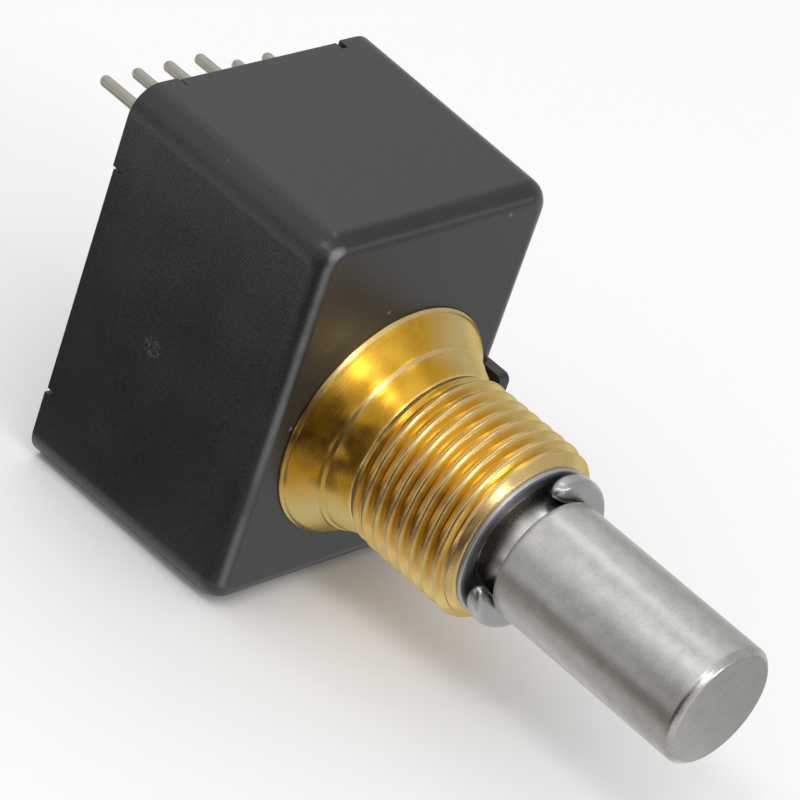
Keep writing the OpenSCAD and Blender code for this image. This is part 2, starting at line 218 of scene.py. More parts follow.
world = bpy.data.worlds.new("studio")
world.use_nodes = True
give(world.node_tree, world.node_tree.nodes["Background"],
     Color=(1, 1, 1, 1), Strength=WORLD_STRENGTH)
bpy.context.scene.world = world
bpy.context.scene.view_settings.view_transform = "Standard"
print("world:", world.name)

# %% [markdown]
# The object stands on pale paper. The floor is one large disc at the height of the housing's
# lowest edge, so large that metal never mirrors its rim close by.

# %% Lay the floor
def node_material(name, **values):
    """A new material. The values go into the inputs of its surface."""
    material = bpy.data.materials.new(name)
    material.use_nodes = True
    tree = material.node_tree
    return material, tree, give(tree, tree.nodes["Principled BSDF"], **values)


def mesh_from(bm, name):
    mesh = bpy.data.meshes.new(name)
    bm.to_mesh(mesh)
    bm.free()
    return mesh


def lay_floor():
    bm = bmesh.new()
    bmesh.ops.create_circle(bm, cap_ends=True, segments=96, radius=2.0)
    mesh = mesh_from(bm, "floor")
    floor = put("floor", mesh)
    floor.location.z = cad_box[0][2]
    mesh.materials.append(node_material("floor_paper", Base_Color=(0.9, 0.9, 0.9, 1),
                                        Roughness=1.0, Specular_IOR_Level=0.0)[0])
    return floor


floor = lay_floor()
print("floor at", round(floor.location.z / MM, 2), "mm")

# %% [markdown]
# In front of a light background, turned brass looks flat. So a studio has cards beside it,
# and the metal takes its dark and pale accents from their reflections. Most of these cards
# lie just above the floor, each where one stretch of metal mirrors it: dark ones for the
# shaded sides, and pale ones for the light that bounces up from below. One stands upright
# on the left, and a small bright one hangs above for the streak on the shaft.
# Only reflections see them, so they throw no shadow and don't show in a picture.

# %% A card
UNSEEN_BY = ("camera", "diffuse", "transmission", "volume_scatter", "shadow")


def card(name, middle, azimuth, tilt, width, height, grey, turn=0, warm=1.0):
    """A card in mm. It faces along an azimuth and tilts up; 90 lies flat, minus looks down."""
    mesh = bpy.data.meshes.new(name)
    w, h = width / 2 * MM, height / 2 * MM
    mesh.from_pydata([(-w, -h, 0), (w, -h, 0), (w, h, 0), (-w, h, 0)], [], [(0, 1, 2, 3)])
    holder = put(name, mesh)
    holder.location = Vector(middle) * MM
    facing = direction(azimuth, tilt).to_track_quat("Z", "Y")
    facing = facing @ Quaternion((0, 0, 1), math.radians(turn))
    holder.rotation_euler = facing.to_euler()
    for ray in UNSEEN_BY:
        setattr(holder, "visible_" + ray, False)
    glow = (grey, grey * (1 - 0.10 * warm), grey * (1 - 0.22 * warm), 1)
    mesh.materials.append(node_material(
        name, Base_Color=(0, 0, 0, 1), Specular_IOR_Level=0.0, Emission_Color=glow,
        Emission_Strength=1.0)[0])


# %% Lay and stand the cards
CARD_HEIGHT = -8.6


def flat_card(name, x, y, width, length, grey, above=0.0, **more):
    """A card that lies just over the floor, or a little above the other cards."""
    card(name, (x, y, CARD_HEIGHT + above), 0, 90, width, length, grey, **more)


card("upright_card", (-53, -33, 9), -58, 0, 80, 36, 0.12)
flat_card("front_card", -43, -37, 54, 46, 0.095)
flat_card("side_card", -21.5, 21, 25, 29, 0.155)
flat_card("edge_card", -22, 1.2, 26, 10.4, 0.185, warm=0.6)
flat_card("near_card", -14.25, -12.5, 7.5, 9, 0.31, warm=0.6)
flat_card("far_card", -12.5, -23.5, 7, 13, 0.42)
flat_card("white_card", -2, -14, 14, 28, 0.72, warm=0.15)
flat_card("line_card", 0.2, -17, 2.6, 22, 1.0, above=0.1, turn=24.5, warm=0)
flat_card("beside_card", -25.5, -9, 17, 10, 0.15)
flat_card("under_card", -12, -6.2, 9, 3.6, 0.50, warm=0.7)
flat_card("right_card", 22, -19, 28, 30, 0.70, warm=0)
flat_card("far_right_card", 66, -79, 108, 84, 0.52, warm=0)
card("streak_card", (9.7, 8, 52), -19, -55, 6.5, 25, 3.2, warm=-0.6)

# %% [markdown]
# ## Shared effects
#
# Three effects turn up on more than one finish: fine mottling of a surface, the marks
# that a lathe leaves round an axis, and pale specks of dust. Each is a node group,
# built once, with its sizes as inputs. A group gives out only heights and masks.

# %% Helpers for node groups
FLOAT = "NodeSocketFloat"


def shader_group(name, inputs, outputs):
    """A new group. Its inputs are sizes with a usual value, and its outputs are numbers."""
    group = bpy.data.node_groups.new(name, "ShaderNodeTree")
    for label, value in inputs.items():
        socket = group.interface.new_socket(label, in_out="INPUT", socket_type=FLOAT)
        socket.default_value = value
    for label in outputs:
        group.interface.new_socket(label, in_out="OUTPUT", socket_type=FLOAT)
    start = group.nodes.new("NodeGroupInput")
    end = group.nodes.new("NodeGroupOutput")
    return group, start, end


def add(tree, kind, **values):
    return give(tree, tree.nodes.new(kind), **values)


def maths(tree, operation, *values, kind="ShaderNodeMath", **settings):
    """One Math node. Its values may be numbers or other nodes' outputs."""
    node = add(tree, kind, operation=operation, **settings)
    for socket, value in zip(node.inputs, values):
        feed(tree, socket, value)
    return node.outputs["Value"]


def of_two(operation):
    """A function that puts two values through one Math node."""
    return lambda tree, first, second: maths(tree, operation, first, second)


times, over = of_two("MULTIPLY"), of_two("DIVIDE")
plus, minus = of_two("ADD"), of_two("SUBTRACT")
larger, smaller = of_two("MAXIMUM"), of_two("MINIMUM")


def split(tree, vector):
    """The x, y and z of a vector."""
    return add(tree, "ShaderNodeSeparateXYZ", Vector=vector).outputs


def object_place(tree):
    return add(tree, "ShaderNodeTexCoord").outputs["Object"]


def off_axis(tree, x, z):
    """How far a point is from the Y axis."""
    return maths(tree, "SQRT", plus(tree, times(tree, x, x), times(tree, z, z)))


def remap(tree, value, low, high, to_low=0.0, to_high=1.0, smooth=False):
    """Stretches the range from low to high onto another range, and stops at its ends."""
    node = add(tree, "ShaderNodeMapRange", Value=value, From_Min=low, From_Max=high,
               To_Min=to_low, To_Max=to_high)
    if smooth:
        node.interpolation_type = "SMOOTHSTEP"
    return node.outputs["Result"]

# %% [markdown]
# No moulded or ground face is quite even. Two noises give the unevenness: broad patches
# for the tone, and a fine grain for the skin. A picture could do it too, but noise needs
# no file and has no seam. Its sizes go in as millimetres, as they are on the real piece.

# %% Mottle: uneven tone and fine grain
def make_mottle():
    group, start, end = shader_group(
        "mottle", {"Patch Size": 3.0, "Grain Size": 0.12}, ["Patches", "Grain"])
    place = object_place(group)
    for label, size, detail in (("Patches", "Patch Size", 3.0), ("Grain", "Grain Size", 2.0)):
        scale = over(group, 1 / MM, start.outputs[size])
        noise = add(group, "ShaderNodeTexNoise", Vector=place, Scale=scale, Detail=detail)
        feed(group, end.inputs[label], noise.outputs["Fac"])
    return group


mottle = make_mottle()
print("group:", mottle.name)

# %% [markdown]
# A lathe tool leaves fine grooves that run round the axis. So the noise is read at a point
# that moves fast along the axis and outwards, and slowly on the way round. On a flat end
# the same rule draws circles. Modelled grooves would need far too many faces.

# %% Turned marks: rings round the Y axis
def make_turned_marks():
    group, start, end = shader_group(
        "turned_marks", {"Spacing": 0.05, "Break Up": 1.5}, ["Height"])
    x, y, z = split(group, object_place(group))
    radius = larger(group, off_axis(group, x, z), 1e-5)
    density = over(group, 1 / MM, start.outputs["Spacing"])
    around = [times(group, over(group, side, radius), start.outputs["Break Up"])
              for side in (x, z)]
    along = plus(group, times(group, y, density), times(group, radius, density))
    point = add(group, "ShaderNodeCombineXYZ", X=around[0], Y=along, Z=around[1])
    noise = add(group, "ShaderNodeTexNoise", Vector=point.outputs[0], Scale=1.0, Detail=3.0)
    give(group, end, Height=noise.outputs["Fac"])
    return group


turned_marks = make_turned_marks()
print("group:", turned_marks.name)

# %% [markdown]
# Dust lies on dark plastic as a few pale dots. A Voronoi texture cuts space into cells,
# each with a colour of its own. One channel of it picks the cells that get a dot, and
# another sets the dot's size. Scattered points would do as well, but this adds no mesh.

# %% Specks: sparse pale dots of dust
def make_specks():
    group, start, end = shader_group(
        "specks", {"Spacing": 0.9, "Size": 0.09, "Share": 0.3}, ["Mask"])
    cells = add(group, "ShaderNodeTexVoronoi", feature="F1", distance="EUCLIDEAN",
                Vector=object_place(group), Scale=over(group, 1 / MM, start.outputs["Spacing"]))
    pick = add(group, "ShaderNodeSeparateColor", Color=cells.outputs["Color"])
    chosen = maths(group, "LESS_THAN", pick.outputs[0], start.outputs["Share"])
    size = over(group, start.outputs["Size"], start.outputs["Spacing"])
    reach = times(group, pick.outputs[1], size)
    dot = remap(group, cells.outputs["Distance"], 0.0, reach, 1.0, 0.0)
    give(group, end, Mask=maths(group, "MULTIPLY", dot, chosen, use_clamp=True))
    return group


specks = make_specks()
print("group:", specks.name)

# %% [markdown]
# ## Finishes
#
# Each finish is a Principled shader whose colour, roughness and bump come from the
# groups. A base colour says which share of the light comes back. For black plastic that
# is only one or two hundredths.

# %% Helpers for finishes
def use_group(tree, group, **values):
    return add(tree, "ShaderNodeGroup", node_tree=group, **values)


def mix_colours(tree, factor, first, second):
    """The first colour where the factor is 0, and the second where it is 1."""
    node = add(tree, "ShaderNodeMix", data_type="RGBA", Factor=factor)
    for socket, value in zip(node.inputs[6:8], (first, second)):
        feed(tree, socket, (*value, 1) if isinstance(value, tuple) else value)
    return node.outputs[2]


def bump(tree, surface, height, depth_mm, strength):
    """Lets the light fall as if the surface rose and sank by a depth in mm."""
    node = add(tree, "ShaderNodeBump", Strength=strength, Distance=depth_mm * MM, Height=height)
    give(tree, surface, Normal=node.outputs[0])


def turned_away(tree):
    """Grows from 0, where a surface faces us, towards 1, where it turns away."""
    return add(tree, "ShaderNodeLayerWeight", Blend=0.5).outputs["Facing"]

# %% [markdown]
# The housing has been handled, and there is a small scuff in the middle of the left side. Its
# upright front left edge and the corner above it carry painted highlights: a pale line down the
# edge and a pale glint on the corner. Such places could be painted on the mesh. On a rounded edge,
# though, the normal points between the two faces, so the shader can find the edge and the corner
# by itself.

# %% A scuff, and painted highlights on the housing's edge and corner
PALE_DUST_SCUFF_AND_HIGHLIGHT = (0.30, 0.30, 0.31)
# The edge line and the corner glint are painted highlights; only the scuff is wear.
EDGE_SIDEWAYS, EDGE_SPREAD = 0.42, 0.32
CORNER_GLINT_FACING = (-0.282, -0.853, 0.440)
SCUFF_PLACE = Vector((-7.6, 7.6, 0.95))
SCUFF_CORE, SCUFF_REACH = 0.2, 0.8
EDGE_HIGHLIGHT_LEAST, EDGE_HIGHLIGHT_MOST = 0.08, 0.27
CORNER_GLINT_MOST, SCUFF_MOST = 0.42, 0.45
print("scuff at", [round(c, 2) for c in SCUFF_PLACE], "mm")


def scuff_and_painted_highlights(tree, patches, grain):
    """Painted highlights on the front left edge and the corner above it, and a scuff on the left
    side.
    """
    facing = add(tree, "ShaderNodeNewGeometry").outputs["Normal"]
    sideways, backwards, upwards = split(tree, facing)
    # A painted highlight: a pale line down the front left edge.
    off_edge = maths(tree, "ABSOLUTE", plus(tree, sideways, EDGE_SIDEWAYS))
    aside = remap(tree, off_edge, 0.0, EDGE_SPREAD, 1.0, 0.0, smooth=True)
    faces_front = remap(tree, backwards, -0.70, -0.85)
    upright = remap(tree, maths(tree, "ABSOLUTE", upwards), 0.10, 0.25, 1.0, 0.0)
    edge = times(tree, times(tree, aside, faces_front), upright)
    edge = times(tree, edge, remap(tree, patches, 0.30, 0.55, EDGE_HIGHLIGHT_LEAST, EDGE_HIGHLIGHT_MOST))
    # A painted glint on the corner, where its surface faces one given direction.
    corner = maths(tree, "DOT_PRODUCT", facing, CORNER_GLINT_FACING, kind="ShaderNodeVectorMath")
    corner_glint = remap(tree, corner, 0.945, 1.0, 0.0, CORNER_GLINT_MOST, smooth=True)
    away = maths(tree, "DISTANCE", object_place(tree), SCUFF_PLACE * MM,
                 kind="ShaderNodeVectorMath")
    scuff = remap(tree, away, SCUFF_CORE * MM, SCUFF_REACH * MM, 1.0, 0.0)
    scuff = times(tree, scuff, remap(tree, grain, 0.45, 0.65))
    scuff_and_highlights = plus(tree, edge, times(tree, scuff, SCUFF_MOST))
    return maths(tree, "ADD", scuff_and_highlights, corner_glint, use_clamp=True)

# %% [markdown]
# The housing is injection moulded in black plastic with a fine satin grain. Two near
# blacks are mixed by the mottle, the grain goes into the bump, and dust lies on top. The
# same recipe with other colours does for the seal, the board and the parts on it.

# %% Black moulded plastic
ROUGHNESS_SPREAD = 0.04


def moulded_plastic(name, dark, light, roughness, scuff_and_highlights=False):
    material, tree, surface = node_material(name, Specular_IOR_Level=0.50)
    tone = use_group(tree, mottle, Patch_Size=4.0, Grain_Size=0.11)
    dust = use_group(tree, specks, Spacing=1.3, Size=0.15, Share=0.40)
    uneven = plus(tree, times(tree, tone.outputs["Patches"], 0.3),
                  times(tree, tone.outputs["Grain"], 0.7))
    base = mix_colours(tree, remap(tree, uneven, 0.40, 0.60), dark, light)
    base = mix_colours(tree, times(tree, dust.outputs[0], 0.5), base, PALE_DUST_SCUFF_AND_HIGHLIGHT)
    # On the housing: a pale scuff, a painted highlight down the front left edge and a painted
    # glint on its corner.
    if scuff_and_highlights:
        base = mix_colours(tree, scuff_and_painted_highlights(tree, *tone.outputs[0:2]), base, PALE_DUST_SCUFF_AND_HIGHLIGHT)
    rough = remap(tree, tone.outputs["Patches"], 0.3, 0.7,
                  roughness - ROUGHNESS_SPREAD, roughness + ROUGHNESS_SPREAD)
    give(tree, surface, Base_Color=base, Roughness=rough)
    bump(tree, surface, tone.outputs["Grain"], 0.020, 0.5)
    return material


housing_plastic = moulded_plastic(
    "housing_plastic", (0.009, 0.009, 0.0105), (0.0185, 0.018, 0.021), 0.32, scuff_and_highlights=True)
inner_plastic = moulded_plastic(
    "inner_plastic", (0.015, 0.015, 0.016), (0.022, 0.022, 0.023), 0.5)
print("plastics:", housing_plastic.name, inner_plastic.name)

# %% [markdown]
# The ring and the washer are steel, and the pins are tinned. Bare metal shows little but
# reflections, so Metallic is 1 and the base colour only tints them. The marks go into the
# roughness and the bump, not the colour, as they do on the real metal. The washer is
# darkened close round the shaft, because little light gets in behind the ring.

# %% Turned metals
SHADED_STEEL = (0.25, 0.245, 0.24)
SHADE_EDGE = 0.12
METAL_SPREAD = 0.06


def round_place(tree):
    """Distance from the axis, forward, and height, in mm, of the point being shaded."""
    x, y, z = split(tree, object_place(tree))
    return over(tree, off_axis(tree, x, z), MM), over(tree, y, -MM), over(tree, z, MM)


def turned_metal(name, front, glancing, roughness, spacing, depth, shaded_inside=0):
    """Metal off a lathe. It is deeper in colour from the front than at a glancing angle."""
    material, tree, surface = node_material(name, Metallic=1.0)
    marks = use_group(tree, turned_marks, Spacing=spacing, Break_Up=3.0)
    tone = use_group(tree, mottle, Patch_Size=1.6, Grain_Size=0.1)
    base = mix_colours(tree, remap(tree, turned_away(tree), 0.1, 0.75), front, glancing)
    if shaded_inside:
        radius = round_place(tree)[0]
        shade = remap(tree, radius, shaded_inside, shaded_inside - SHADE_EDGE)
        base = mix_colours(tree, shade, base, SHADED_STEEL)
    uneven = plus(tree, marks.outputs[0], tone.outputs["Patches"])
    rough = remap(tree, uneven, 0.7, 1.3, roughness - METAL_SPREAD, roughness + METAL_SPREAD)
    give(tree, surface, Base_Color=base, Roughness=rough)
    bump(tree, surface, marks.outputs[0], depth, 0.6)
    return material


ring_steel = turned_metal(
    "ring_steel", (0.37, 0.37, 0.365), (0.42, 0.42, 0.42), 0.31, 0.2, 0.001)
washer_steel = turned_metal(
    "washer_steel", (0.40, 0.41, 0.45), (0.45, 0.46, 0.49), 0.42, 0.08, 0.001,
    shaded_inside=3.76)
pin_tin = turned_metal(
    "terminal_tin", (0.37, 0.35, 0.29), (0.44, 0.42, 0.38), 0.38, 0.1, 0.002)
print("metals:", [m.name for m in (ring_steel, washer_steel, pin_tin)])

# %% [markdown]
# The shaft is ground, so it has an even grain and faint blotches in place of rings. Its end face
# is duller and its bevel is smoother. The groove that holds the ring has painted shade towards its
# back, where it lies in shade, and a lighter colour towards its front as a painted highlight.
# Separate materials would leave hard borders. One material can tell these places apart by how far
# a point is from the axis and along it.

# %% Ground steel of the shaft
STEEL_DARK, STEEL_LIGHT = (0.41, 0.40, 0.375), (0.50, 0.49, 0.465)
END_DARK, END_LIGHT = (0.345, 0.335, 0.32), (0.395, 0.383, 0.365)
GROOVE_SHADE, GROOVE_HIGHLIGHT = (0.36, 0.35, 0.34), (0.54, 0.53, 0.51)
GROOVE_TOP_R, GROOVE_DEEP_R = 3.05, 2.75
TIP_BEVEL = 0.28
SMOOTHEST_STEEL, ROUGHEST_STEEL = 0.33, 0.41
POLISH, BROW_ROUGHNESS = 0.08, 0.22
BAND_SOFT = 0.03


def band(tree, value, low, high):
    """1 between two values, with soft ends."""
    rise = remap(tree, value, low - BAND_SOFT, low + BAND_SOFT)
    return times(tree, rise, remap(tree, value, high + BAND_SOFT, high - BAND_SOFT))


def make_ground_steel():
    """Evenly grained by grinding, a little blotched, with a duller face at the tip."""
    material, tree, surface = node_material("shaft_steel", Metallic=1.0)
    grain = use_group(tree, mottle, Patch_Size=0.7, Grain_Size=0.12)
    radius, forward = round_place(tree)[:2]
    uneven = plus(tree, times(tree, grain.outputs["Patches"], 0.5),
                  times(tree, grain.outputs["Grain"], 0.5))
    base = mix_colours(tree, remap(tree, uneven, 0.38, 0.62), STEEL_DARK, STEEL_LIGHT)
    face = remap(tree, forward, SHAFT_TIP - 0.04, SHAFT_TIP - 0.01)
    end_face = mix_colours(tree, remap(tree, uneven, 0.40, 0.60), END_DARK, END_LIGHT)
    base = mix_colours(tree, face, base, end_face)
    # Painted shade at the back of the groove, and a lighter colour towards its front as a painted
    # highlight.
    groove = times(tree, remap(tree, radius, GROOVE_TOP_R, GROOVE_DEEP_R),
                   remap(tree, forward, GROOVE_FRONT + 0.1, GROOVE_FRONT))
    depth = remap(tree, forward, GROOVE_FRONT - 0.9, GROOVE_FRONT - 0.3)
    base = mix_colours(tree, groove, base, mix_colours(tree, depth, GROOVE_SHADE, GROOVE_HIGHLIGHT))
    rough = remap(tree, grain.outputs["Grain"], 0.3, 0.7, SMOOTHEST_STEEL, ROUGHEST_STEEL)
    bevel_back = SHAFT_TIP - TIP_BEVEL
    bevel = minus(tree, remap(tree, forward, bevel_back - 0.08, bevel_back - 0.02), face)
    polished = times(tree, larger(tree, groove, bevel), POLISH)
    brow = band(tree, forward, GROOVE_FRONT - 0.03, GROOVE_FRONT + 0.25)
    rough = plus(tree, rough, times(tree, brow, BROW_ROUGHNESS))
    give(tree, surface, Base_Color=base, Roughness=minus(tree, rough, polished))
    smooth_bevel = minus(tree, 1.0, bevel)
    bump(tree, surface, times(tree, grain.outputs["Grain"], smooth_bevel), 0.002, 0.4)
    return material


shaft_steel = make_ground_steel()
print("metal:", shaft_steel.name)

# %% [markdown]
# The bushing is turned brass that has been handled. It is gold where it faces us, with painted
# shade, a deep brown, in the roots of the thread, weaker at the top. The crests are pale, partly
# rubbed and partly a painted highlight, and the front end is paler too. Painted highlights lie as
# pale lines on the flange's rim and the ledge on the cone, stronger higher up. The flanks of the
# thread that face the flange, and the crease where the thread meets the cone, are painted paler as
# well, to lift the shade there. Brown stains lie on the side in shade, where they also act as
# painted shade. The places are told by the distance from the axis and along it, so no texture has
# to be painted, and the masks follow the thread.

# %% Rubbed and stained places of the brass, with painted light and shade
THREAD_BACK = 2.92
RIM_BACK, RIM_FRONT = 0.06, 0.24
LEDGE_BACK, LEDGE_FRONT = 1.58, 1.76
END_BACK, END_FRONT = 8.92, 9.02
CREST_LOW, CREST_HIGH = 4.54, 4.69
CREST_MOST, END_MOST = 0.65, 0.7
STAIN_AND_SHADE_MOST = 0.68


def rubbed_and_highlit_places(tree, radius, forward, height, on_thread):
    """Crests, rubbed and with a painted highlight, the paler front end, painted highlights on the
    rim and the ledge, and all that is seen at a low angle.
    """
    # The crests are pale partly from rubbing and partly as a painted highlight.
    crest = times(tree, remap(tree, radius, CREST_LOW, CREST_HIGH), on_thread)
    crest = times(tree, crest, CREST_MOST)
    end = times(tree, remap(tree, forward, END_BACK, END_FRONT), END_MOST)
    glancing = remap(tree, turned_away(tree), 0.25, 0.58)
    # Painted highlights: pale lines on the rim and the ledge, stronger higher up.
    rim = band(tree, forward, RIM_BACK, RIM_FRONT)
    ledge = band(tree, forward, LEDGE_BACK, LEDGE_FRONT)
    upper = remap(tree, height, 0.5, 3.0, 0.25, 0.7)
    edges = times(tree, larger(tree, rim, ledge), upper)
    rubbed_and_highlit = larger(tree, larger(tree, crest, end), edges)
    return larger(tree, rubbed_and_highlit, glancing)


def stains_and_shade_places(tree, height, on_thread):
    """Brown stain patches a little above the middle, on the side in shade, so that they also act
    as painted shade; at half strength on the thread.
    """
    stain = use_group(tree, mottle, Patch_Size=0.8, Grain_Size=0.2)
    shaded_side = times(tree, remap(tree, height, -0.8, 0.6), remap(tree, height, 3.4, 2.2))
    patches = remap(tree, stain.outputs["Patches"], 0.42, 0.62, 0.0, STAIN_AND_SHADE_MOST)
    stained_and_shaded = times(tree, patches, shaded_side)
    plain = minus(tree, 1.0, times(tree, on_thread, 0.5))
    return times(tree, stained_and_shaded, plain)


# %% Brass
GOLD_DARK, GOLD_LIGHT = (0.56, 0.295, 0.024), (0.69, 0.39, 0.045)
ROOT_TOP_R, ROOT_DEEP_R = 4.62, 4.35
ROOT_SHADE_BROWN = (0.46, 0.19, 0.02)
RUBBED_AND_HIGHLIGHT_GOLD = (0.71, 0.58, 0.29)
FLANK_AND_CREASE_LIFT_GOLD = (0.95, 0.80, 0.45)
STAIN_AND_SHADE_BROWN = (0.25, 0.11, 0.04)
SMOOTHEST_BRASS, ROUGHEST_BRASS = 0.21, 0.30


def make_brass():
    """Brass with painted shade in the thread's roots, gold face on, and pale on rubbed places and
    painted highlights.
    """
    material, tree, surface = node_material("bushing_brass", Metallic=1.0,
                                            Specular_Tint=(0.75, 0.62, 0.38, 1))
    marks = use_group(tree, turned_marks, Spacing=0.12, Break_Up=4.0)
    tone = use_group(tree, mottle, Patch_Size=1.4, Grain_Size=0.09)
    radius, forward, height = round_place(tree)
    on_thread = remap(tree, forward, THREAD_BACK, THREAD_BACK + 0.4)
    uneven = remap(tree, tone.outputs["Patches"], 0.35, 0.65)
    base = mix_colours(tree, uneven, GOLD_DARK, GOLD_LIGHT)
    # Painted shade in the roots of the thread, weaker at the top where light falls.
    root = times(tree, remap(tree, radius, ROOT_TOP_R, ROOT_DEEP_R), on_thread)
    root = times(tree, root, remap(tree, height, 4.2, 2.5, 0.35, 0.85))
    base = mix_colours(tree, root, base, ROOT_SHADE_BROWN)
    rubbed_and_highlit = rubbed_and_highlit_places(tree, radius, forward, height, on_thread)
    # Pale on rubbed crests, and painted highlights on the crests, the rim and the ledge.
    base = mix_colours(tree, rubbed_and_highlit, base, RUBBED_AND_HIGHLIGHT_GOLD)
    # Painted light: the back flanks and the crease where the thread starts are made paler, to lift
    # the shade that falls on them.
    backwards = split(tree, add(tree, "ShaderNodeNewGeometry").outputs["Normal"])[1]
    back_flank = times(tree, remap(tree, backwards, 0.05, 0.30), on_thread)
    neck_crease_lift = band(tree, forward, THREAD_BACK - 0.08, THREAD_BACK + 0.14)
    pale = larger(tree, back_flank, times(tree, neck_crease_lift, 0.4))
    base = mix_colours(tree, pale, base, FLANK_AND_CREASE_LIFT_GOLD)
    # Stains, kept to the side in shade, where they also act as painted shade.
    base = mix_colours(tree, stains_and_shade_places(tree, height, on_thread), base, STAIN_AND_SHADE_BROWN)
    marked = plus(tree, marks.outputs[0], tone.outputs["Patches"])
    rough = remap(tree, marked, 0.7, 1.3, SMOOTHEST_BRASS, ROUGHEST_BRASS)
    rough = plus(tree, rough, times(tree, back_flank, 0.25))
    give(tree, surface, Base_Color=base, Roughness=rough)
    bump(tree, surface, marks.outputs[0], 0.0012, 0.5)
    return material


brass = make_brass()
print("metal:", brass.name)

# %% [markdown]
# ## Turned pieces
#
# The shaft, the washer and the bushing all come off a lathe, so each is a profile spun
# about the Y axis, as the lathe does. The Screw modifier spins a profile too, but with the
# points in hand each corner can be given a small arc first. A real edge is broken like
# that, and it catches a line of light.

# %% Spin a profile
ROUND_STEPS = 160


def bend(start, corner, end, steps=3):
    """Points of a curve from start to end that leans towards the corner."""
    start, corner, end = Vector(start), Vector(corner), Vector(end)
    return [tuple(start.lerp(corner, k / steps).lerp(corner.lerp(end, k / steps), k / steps))
            for k in range(steps + 1)]


LEAST_TURN = 20
LONGEST_REACH = 0.4
FLAT_GUARD = 1.2


def broken_edges(profile, radius):
    """Rounds each sharp corner of an open profile, and keeps its two ends."""
    made = [profile[0]]
    for earlier, point, later in zip(profile, profile[1:], profile[2:]):
        corner = Vector(point)
        into = corner - Vector(earlier)
        out = Vector(later) - corner
        if into.angle(out) < math.radians(LEAST_TURN):
            made.append(point)
            continue
        reach = min(radius, into.length * LONGEST_REACH, out.length * LONGEST_REACH)
        before = into.normalized() * reach
        after = out.normalized() * reach
        # One more point on each side keeps the flat faces' shading flat.
        made.append(tuple(corner - before * FLAT_GUARD))
        made += bend(corner - before, corner, corner + after)
        made.append(tuple(corner + after * FLAT_GUARD))
    return made + [profile[-1]]


def spun_mesh(profile, closed=True, steps=ROUND_STEPS):
    """A surface turned about Y from (radius, forward) points in mm. Radius 0 is a pole."""
    bm = bmesh.new()
    rings = []
    for radius, forward in profile:
        if radius < 1e-4:
            rings.append([bm.verts.new((0, -forward * MM, 0))])
            continue
        rings.append([bm.verts.new((radius * MM * math.cos(math.tau * k / steps), -forward * MM,
                                    radius * MM * math.sin(math.tau * k / steps)))
                      for k in range(steps)])
    pairs = list(zip(rings, rings[1:])) + ([(rings[-1], rings[0])] if closed else [])
    for first, second in pairs:
        for k in range(steps):
            n = (k + 1) % steps
            loop = [first[k % len(first)], first[n % len(first)],
                    second[n % len(second)], second[k % len(second)]]
            unique = [v for i, v in enumerate(loop) if v not in loop[:i]]
            if len(unique) > 2:
                bm.faces.new(unique)
    return bm

# %% [markdown]
# A finished mesh becomes an object that rides on its body, the stator or the rotor. It also says
# which CAD pieces it stands for, so that those are hidden. Every piece is put in place by the same
# few lines.

# %% Put a piece in place
def stand_in(mesh, name, body, slot, *nodes):
    piece = put(name, mesh)
    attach(piece, body)
    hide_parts(*nodes)
    print(name, len(mesh.polygons), "faces")


def placed(mesh, name, material, body, slot, *nodes, sharp=40):
    """Smooth, but for edges that turn by more than the given number of degrees."""
    for polygon in mesh.polygons:
        polygon.use_smooth = True
    mesh.set_sharp_from_angle(angle=math.radians(sharp))
    mesh.materials.clear()
    mesh.materials.append(material)
    stand_in(mesh, name, body, slot, *nodes)


def finished(bm, name, material, body, slot, *nodes, sharp=40):
    """Joins doubled points, turns all faces outwards, and puts the piece in place."""
    bmesh.ops.remove_doubles(bm, verts=bm.verts, dist=1e-7)
    bmesh.ops.recalc_face_normals(bm, faces=bm.faces)
    placed(mesh_from(bm, name), name, material, body, slot, *nodes, sharp=sharp)

# %% [markdown]
# The shaft is plain: a chamfered tip, a groove for the ring, and a stepped tail inside
# the housing. The groove could be cut with a Boolean, but one profile holds it all, with
# corners broken by a few hundredths of a millimetre.

# %% Turn the shaft
BEVEL_SOFT = 0.08
BEVEL_BACK = SHAFT_TIP - TIP_BEVEL
GROOVE_R = 2.65
GROOVE_BACK = BUSHING_FRONT - 0.1
GROOVE_BROW = 0.3
SHOULDER = BUSHING_BACK - 0.35
TAIL_R = 2.0
EDGE_BREAK = 0.06

shaft_profile = [
    (0, SHAFT_BACK), (TAIL_R, SHAFT_BACK), (TAIL_R, SHOULDER), (SHAFT_R, SHOULDER),
    (SHAFT_R, GROOVE_BACK), (GROOVE_R, GROOVE_BACK), (GROOVE_R, GROOVE_FRONT),
    (SHAFT_R - 0.2, GROOVE_FRONT)]
shaft_profile += bend((SHAFT_R - 0.14, GROOVE_FRONT), (SHAFT_R, GROOVE_FRONT),
                      (SHAFT_R, GROOVE_FRONT + GROOVE_BROW), 6)
shaft_profile += bend((SHAFT_R, BEVEL_BACK - 0.12), (SHAFT_R, BEVEL_BACK),
                      (SHAFT_R - BEVEL_SOFT, BEVEL_BACK + BEVEL_SOFT), 4)
shaft_profile += bend((SHAFT_R - TIP_BEVEL + BEVEL_SOFT, SHAFT_TIP - BEVEL_SOFT),
                      (SHAFT_R - TIP_BEVEL, SHAFT_TIP),
                      (SHAFT_R - TIP_BEVEL - 0.10, SHAFT_TIP), 4)
shaft_profile.append((0, SHAFT_TIP))
shaft_profile = broken_edges(shaft_profile, EDGE_BREAK)
finished(spun_mesh(shaft_profile, closed=False), "turned_shaft", shaft_steel, "rotor",
         "shaft_steel", "shaft", sharp=60)

# %% [markdown]
# The washer is a thin flat ring between the bushing and the retaining ring. A cylinder
# with a hole and a bevel would do, but a profile of a few points says the same in less.
# Its outer front edge is rounded, and its bore clears the shaft.

